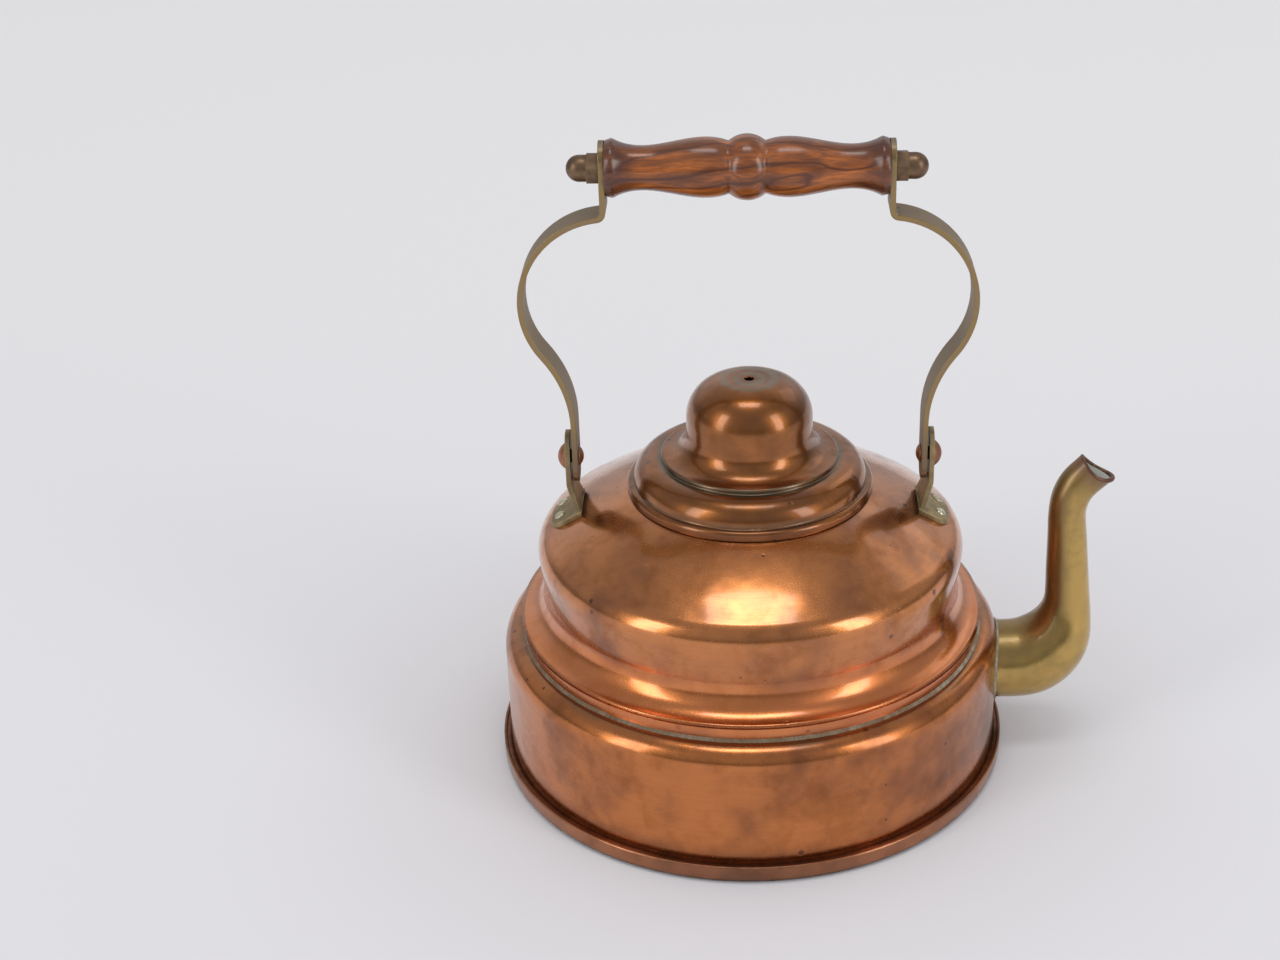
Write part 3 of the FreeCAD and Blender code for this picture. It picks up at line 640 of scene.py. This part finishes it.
LIP_BRASS = brass(
    "lip_brass", gold=paint(138, 100, 76), tarnish_and_reflection=paint(104, 72, 58), dark=paint(60, 46, 38),
    shift=(0.2, 0.2, 0.5), roughness=0.3, tarnish_and_reflection_of=everywhere, wax=0.4)
RIVET_COPPER = brass(
    "rivet_copper", gold=paint(190, 136, 104), tarnish_and_reflection=paint(146, 104, 82), dark=paint(70, 52, 42),
    shift=(0.3, 0.3, 0.3), roughness=0.3, tarnish_and_reflection_of=everywhere)
RIVET_GREY = brass(
    "rivet_grey", gold=paint(228, 222, 200), tarnish_and_reflection=paint(196, 188, 160), dark=paint(96, 86, 66),
    shift=(0.6, 0.1, 0.4), roughness=0.26, tarnish_and_reflection_of=everywhere, wax=0.5)
print("brass finishes:", [m.name for m in (SPOUT_BRASS, STRAP_BRASS, LUG_BRASS, NUT_BRASS,
                                           LIP_BRASS, RIVET_COPPER, RIVET_GREY)])

# %% [markdown]
# Soft solder closes the seams. It was run in by hand and scraped, so it is lumpy and dull grey, and
# it is browner on the left than near the spout. A rough, half metallic surface with a strong, fine
# bump is enough at this size.


# %% The solder
def solder(name):
    """Lumpy grey solder that is paler towards the spout."""
    brownest_up_to, palest_from = 0.05, 0.085
    material, tree, shader, place = start_material(name)
    clouds = clouded(tree, place, 150.0, 0.5, 0.2)
    own_marks = clouded(tree, place, 45.0, 0.45, 0.12)
    towards_spout = parts_of(tree, place)[0]
    browning = stretch(tree, towards_spout, brownest_up_to, palest_from, 0.75, 0.05)
    colour = blend(tree, clouds, paint(190, 184, 164), paint(128, 120, 98))
    colour = blend(tree, raised(tree, browning, own_marks, 0.25), colour, paint(104, 74, 46))
    tree.links.new(colour, shader.inputs["Base Color"])
    tree.links.new(stretch(tree, clouds, 0.0, 1.0, 0.36, 0.55), shader.inputs["Roughness"])
    shader.inputs["Metallic"].default_value = 0.35
    set_bump(tree, shader, clouds, 0.0004)
    return material


SOLDER = solder("soft_solder")
print("finish", SOLDER.name)

# %% [markdown]
# The grip is turned from a reddish hardwood and varnished. Its grain runs along the grip, with dark
# swirling streaks where the growth rings were cut at a slant. Rings round a line that lies a little
# off the grip's axis, bent by noise, give that figure: cut by the turned shape, they open into ovals
# on the barrels, as real wood does. Both ends are darker, and the corners are darkened as painted
# shade. A clear coat on top is the varnish, thinner where it has worn.


# %% The wood
def varnished_wood(name):
    """Turned wood with growth rings, fibres, dark swirls, dark ends and worn varnish."""
    heart_shift, heart_turn = (0.004, 0.011, 0.006), (0.0, 0.14, 0.1)
    along_grain, fibre_scale = (0.16, 1.0, 1.0), (40.0, 1300.0, 1300.0)
    rings_per_metre = 150.0
    material, tree, shader, place = start_material(name)
    grip_low, grip_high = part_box("grip")
    axis_height = (grip_low.z + grip_high.z) / 2
    to_heart = (heart_shift[0], heart_shift[1], heart_shift[2] - axis_height)
    # Growth rings round the heart of the tree, bent by slow noise.
    centred = shift_place(tree, place, to_heart)
    centred = add(tree, "Mapping", {0: centred, 2: heart_turn}).outputs[0]
    slow = add(tree, "Mapping", {0: centred, 3: along_grain}).outputs[0]
    bend = noise(tree, slow, 95.0, 2.0)
    _, beside, above = parts_of(tree, centred)
    growth = raised(tree, length_of(tree, beside, above), bend, 0.022)
    ring = calculate(tree, "FRACT", times(tree, growth, rings_per_metre))
    late = stretch(tree, calculate(tree, "PINGPONG", ring, 0.5), 0.0, 0.2)
    # Fibres along the grip, swirls, worn places, dark ends and painted shade in the corners.
    threads = add(tree, "Mapping", {0: place, 3: fibre_scale}).outputs[0]
    fibres = noise(tree, threads, 1.0, 4.0)
    swirls = clouded(tree, slow, 56.0, 0.54, 0.1)
    worn = clouded(tree, place, 170.0, 0.34, 0.06)
    corners = use_group(tree, "Corner grime and shade", {"Reach": 0.004, "Ragged": 0.4,
                                               "Place": place})["Mask"]
    from_middle = calculate(tree, "ABSOLUTE", parts_of(tree, place)[0])
    outwards = ragged_by(tree, place, from_middle, 70.0, 0.02)
    ends = stretch(tree, outwards, grip_high.x * 0.66, grip_high.x * 0.95)
    colour = blend(tree, late, paint(86, 42, 18), paint(174, 96, 34))
    colour = blend(tree, stretch(tree, fibres, 0.35, 0.65, 0.0, 0.6), colour, paint(104, 54, 20))
    colour = cover(tree, colour, swirls, 0.8, paint(70, 34, 17))
    colour = cover(tree, colour, worn, 0.22, paint(150, 106, 82))
    colour = cover(tree, colour, ends, 0.7, paint(64, 33, 23))
    # Painted shade: the corner mask darkens the grip's corners nearly to black.
    colour = cover(tree, colour, corners, 0.8, paint(38, 22, 16))
    tree.links.new(colour, shader.inputs["Base Color"])
    tree.links.new(stretch(tree, fibres, 0.3, 0.7, 0.32, 0.46), shader.inputs["Roughness"])
    tree.links.new(raised(tree, 0.9, worn, -0.45), shader.inputs["Coat Weight"])
    shader.inputs["Coat Roughness"].default_value = 0.18
    shader.inputs["Specular IOR Level"].default_value = 0.2
    set_bump(tree, shader, raised(tree, late, fibres, 0.6), 0.00008, 0.0014)
    return material


GRIP_WOOD = varnished_wood("grip_wood")
print("finish", GRIP_WOOD.name)

# %% [markdown]
# Now the finishes go on. A CAD piece keeps its mesh, so a finish is laid on by putting the material
# in the piece's slot. The frame brings its pieces in with smooth curved faces and crisp edges
# already, so nothing else has to be set. The left and the right side share their finishes.

# %% Lay the finishes on the pieces
finish_of = {
    "bottom_plate": RIM_COPPER, "lower_drum": DRUM_COPPER, "upper_shell": SHELL_COPPER,
    "seam_solder": SOLDER, "spout": SPOUT_BRASS, "spout_solder": SOLDER,
    "lid_shell": LID_COPPER, "lid_collar": LID_COPPER, "grip": GRIP_WOOD, "grip_rod": NUT_BRASS,
}
for side in ("left_", "right_"):
    finish_of[side + "lug"] = LUG_BRASS
    finish_of[side + "lug_rivets"] = RIVET_GREY
    finish_of[side + "pivot_rivet"] = RIVET_COPPER
    finish_of[side + "strap"] = STRAP_BRASS
    finish_of[side + "cap_nut"] = NUT_BRASS
for name, material in finish_of.items():
    mesh = nodes[name].data
    mesh.materials.clear()
    mesh.materials.append(material)
    print(name, len(mesh.vertices), "points,", len(mesh.polygons), "faces,", material.name)

# %% [markdown]
# Years of hands have rounded the turned edges of the grip. The CAD piece keeps them sharp. A Weld
# modifier first joins the faces on both sides of an edge, and a Bevel modifier then rounds every
# edge that is sharper than the given angle. Modifiers leave the mesh of the piece itself as it was.

# %% Round the edges of the grip
weld = nodes["grip"].modifiers.new("join_faces", "WELD")
weld.merge_threshold = 0.000001
rounding = nodes["grip"].modifiers.new("rounded_edges", "BEVEL")
rounding.width = 0.0014
rounding.segments = 3
rounding.limit_method = "ANGLE"
rounding.angle_limit = math.radians(25)
print("grip edges rounded by", round(rounding.width * 1000, 1), "mm")

# %% [markdown]
# The bottom's rim was folded up round the drum and sweated with solder, and years of dirt have
# closed what was left of the gap, so on the real kettle the rim reads as one solid bead. The CAD
# model keeps the clean gap of the two sheets. A ring turned from a small profile fills it almost to
# the rim's top. Its profile starts from the boxes of the two pieces, so that it follows them.


# %% The filled gap of the base rim
def new_piece(name, points, faces):
    """A new object in the scene, with a mesh of these points and faces."""
    mesh = bpy.data.meshes.new(name)
    mesh.from_pydata(points, [], faces)
    piece = bpy.data.objects.new(name, mesh)
    scene.collection.objects.link(piece)
    return piece


def turned_ring(name, profile, steps=240):
    """A closed ring, turned from corners (radius, height) that run anticlockwise."""
    points, faces = [], []
    count = len(profile)
    for step in range(steps):
        angle = 2 * math.pi * step / steps
        points += [(radius * math.cos(angle), radius * math.sin(angle), height)
                   for radius, height in profile]
        here, there = step * count, (step + 1) % steps * count
        for corner in range(count):
            after = (corner + 1) % count
            faces.append((here + corner, there + corner, there + after, here + after))
    return new_piece(name, points, faces)


sheet = 0.001
bury = 0.0001
drum_flange = 0.0008
fill_bottom = 0.003
below_rim, fill_slope = 0.0003, 0.0004
plate_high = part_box("bottom_plate")[1]
gap_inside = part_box("lower_drum")[1].y - drum_flange - bury
gap_outside = plate_high.y - sheet + bury
filled_to = plate_high.z - below_rim
rim_fill = turned_ring("rim_fill", [(gap_inside, fill_bottom), (gap_outside, fill_bottom),
                                    (gap_outside, filled_to), (gap_inside, filled_to - fill_slope)])
rim_fill.data.materials.append(RIM_COPPER)
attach(rim_fill, "kettle")
print("rim fill from radius", round(gap_inside, 5), "to", round(gap_outside, 5),
      "up to", round(filled_to, 5))

# %% [markdown]
# The spout's mouth ends in a cut edge on the CAD model. On the real spout that edge is thick,
# rounded and reddish, and a little heavier at the beak. A bead laid along the edge gives it that
# lip. The edge is an oval between the two tips of the mouth, sunk in a round dip between them, so
# the bead's middle line follows from the tips, which are the highest and the outermost point of the
# spout.


# %% The lip of the spout
def bead_along(name, centres, radii, up, sides=10):
    """A round bead along a closed line of centres, with a radius for each of them."""
    points, faces = [], []
    count = len(centres)
    for place, centre in enumerate(centres):
        ahead = (centres[(place + 1) % count] - centres[place - 1]).normalized()
        aside = ahead.cross(up).normalized()
        above = aside.cross(ahead)
        here, there = place * sides, (place + 1) % count * sides
        for side in range(sides):
            angle = 2 * math.pi * side / sides
            around = aside * math.cos(angle) + above * math.sin(angle)
            points.append(centre + around * radii[place])
            after = (side + 1) % sides
            faces.append((here + side, there + side, there + after, here + after))
    piece = new_piece(name, points, faces)
    piece.data.polygons.foreach_set("use_smooth", [True] * len(faces))
    return piece


spout_points = [nodes["spout"].matrix_world @ v.co for v in nodes["spout"].data.vertices]
back_tip = max(spout_points, key=lambda point: point.z)
beak_tip = max(spout_points, key=lambda point: point.x)
back_tip.y = beak_tip.y = 0.0
mouth_centre = (back_tip + beak_tip) / 2
tip_way = (beak_tip - back_tip).normalized()
out_way = Vector((-tip_way.z, 0.0, tip_way.x))
half_length = (beak_tip - back_tip).length / 2
half_width, edge_width, dip = 0.0059, 0.0009, 0.0022
inside_tips, inside_edges = edge_width * 0.7, edge_width * 0.5
lip_sunk = 0.0002
lip_radius, beak_extra = 0.0007, 0.0003
dip_radius = (half_length ** 2 + dip ** 2) / (2 * dip)
lip_steps = 96
lip_line, lip_radii = [], []
for step in range(lip_steps):
    angle = 2 * math.pi * step / lip_steps
    along = (half_length - inside_tips) * math.cos(angle)
    aside = (half_width - inside_edges) * math.sin(angle)
    depth = dip_radius - dip - math.sqrt(dip_radius ** 2 - along ** 2)
    lip_line.append(mouth_centre + tip_way * along + out_way * (depth - lip_sunk)
                    + Vector((0.0, aside, 0.0)))
    lip_radii.append(lip_radius + beak_extra * max(0.0, math.cos(angle)) ** 2)
spout_lip = bead_along("spout_lip", lip_line, lip_radii, out_way)
spout_lip.data.materials.append(LIP_BRASS)
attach(spout_lip, "kettle")
print("lip between", [round(v, 4) for v in back_tip], "and", [round(v, 4) for v in beak_tip])

# %% [markdown]
# The photograph was taken on a sheet of pale paper that fills the picture. A wide floor with a
# faint tooth stands in for it. Lamps are weaker further back, and the real paper was lit evenly, so
# the floor's tone rises a little towards the back and makes up for it.


# %% The paper floor
def paper(name):
    """Pale paper with a faint tooth, a little lighter towards the back."""
    front, back = -0.3, 1.3
    material, tree, shader, place = start_material(name)
    tooth = noise(tree, place, 900.0, 2.0)
    away = stretch(tree, parts_of(tree, place)[1], front, back)
    tone = blend(tree, away, paint(209, 208, 211), paint(218, 218, 218))
    tone = cover(tree, tone, tooth, 0.08, paint(196, 196, 202))
    tree.links.new(tone, shader.inputs["Base Color"])
    shader.inputs["Roughness"].default_value = 0.85
    shader.inputs["Specular IOR Level"].default_value = 0.15
    return material


floor_half = 6.0
below_kettle = 0.0002
floor_corners = [(x * floor_half, y * floor_half, 0.0)
                 for x, y in ((-1, -1), (1, -1), (1, 1), (-1, 1))]
floor = new_piece("paper_floor", floor_corners, [(0, 1, 2, 3)])
floor.location.z = -below_kettle
floor.data.materials.append(paper("paper"))
print("floor", [round(v, 2) for v in floor.dimensions])

# %% [markdown]
# Polished copper is mostly a picture of the room around it, so the room matters as much as the
# metal. The world is bright for the light that falls on things, and pale where the camera looks
# past the floor's edge. What the metal mirrors is darker: dark grey low down in front, lighter
# further up, and palest behind the kettle, like paper that rises there.

# %% The room
room_light = 1.16
missing_low, missing_high, given_behind = 0.94, 0.6, 0.34
world = bpy.data.worlds.new("studio")
scene.world = world
world.use_nodes = True
sky = world.node_tree
path = add(sky, "LightPath").outputs
seen = calculate(sky, "MAXIMUM", path["Is Camera Ray"], path["Is Transmission Ray"])
_, back, up = parts_of(sky, add(sky, "TexCoord").outputs["Generated"])
missing = lowered(sky, stretch(sky, up, 0.02, 0.36, missing_low, missing_high),
                  stretch(sky, back, 0.4, 0.85, 0.0, given_behind))
level = lowered(sky, room_light, times(sky, path["Is Glossy Ray"], missing))
background = sky.nodes["Background"]
background.inputs["Color"].default_value = paint(222, 222, 224)
sky.links.new(calculate(sky, "MAXIMUM", level, seen), background.inputs["Strength"])
print("world", world.name)

# %% [markdown]
# The highlights tell where the lamps stood. A mirror sends light off at the angle at which it came,
# so a bright spot on a surface whose slope is known points back at its lamp. The oval on the front
# of the dome points almost straight up, to a wide, flat lamp. The streaks on both shoulders point
# to the two sides of the camera, where two tall, narrow lamps stand like windows. The right side of
# the dome is paler than its left side, so a weak lamp stands behind on the right. Large lamps that
# stand far off give the paper an even tone.


# %% Lamps
def soft_lamp(name, place, aim, width, height, brightness):
    """A flat lamp that faces aim; brightness is its face's, so a larger lamp gives more light."""
    lamp = bpy.data.lights.new(name, "AREA")
    lamp.shape = "RECTANGLE"
    lamp.size = width
    lamp.size_y = height
    lamp.energy = brightness * math.pi * width * height
    holder = bpy.data.objects.new(name, lamp)
    scene.collection.objects.link(holder)
    holder.location = place
    holder.rotation_euler = (Vector(aim) - Vector(place)).to_track_quat("-Z", "Y").to_euler()


body_middle = (0.0, 0.0, 0.08)
soft_lamp("overhead_lamp", place=(0.0, -0.28, 3.2), aim=body_middle,
          width=1.45, height=0.72, brightness=4.7)
soft_lamp("left_lamp", place=(-2.5, -1.75, 1.3), aim=body_middle,
          width=0.85, height=2.5, brightness=3.8)
soft_lamp("right_lamp", place=(2.5, -1.75, 1.3), aim=body_middle,
          width=0.85, height=2.5, brightness=4.3)
soft_lamp("back_lamp", place=(2.2, 2.1, 2.3), aim=(0.0, 0.4, 0.0),
          width=1.9, height=1.5, brightness=0.5)

# %% [markdown]
# The camera looks down on the kettle from the front. Its distance, tilt and lens were worked out
# from the ellipses of the base, the ledge and the lid. The kettle stands right of the picture's
# middle, so the frame is shifted and the camera itself still looks straight at the kettle.

# %% Camera
camera_place = (0.0, -0.6697, 0.4559)
look_down = math.radians(27.18)
roll = math.radians(-0.5)
picture_width, kettle_off_middle = 1280, 110
camera_data = bpy.data.cameras.new("camera")
camera_data.sensor_width = 36.0
camera_data.lens = 56.25
camera_data.shift_x = -kettle_off_middle / picture_width
camera = bpy.data.objects.new("camera", camera_data)
turn = Matrix.Rotation(math.pi / 2 - look_down, 4, "X") @ Matrix.Rotation(roll, 4, "Z")
camera.matrix_world = Matrix.Translation(camera_place) @ turn
scene.collection.objects.link(camera)
scene.camera = camera
scene.view_settings.view_transform = "Standard"
print("camera at", [round(v, 3) for v in camera.matrix_world.translation])
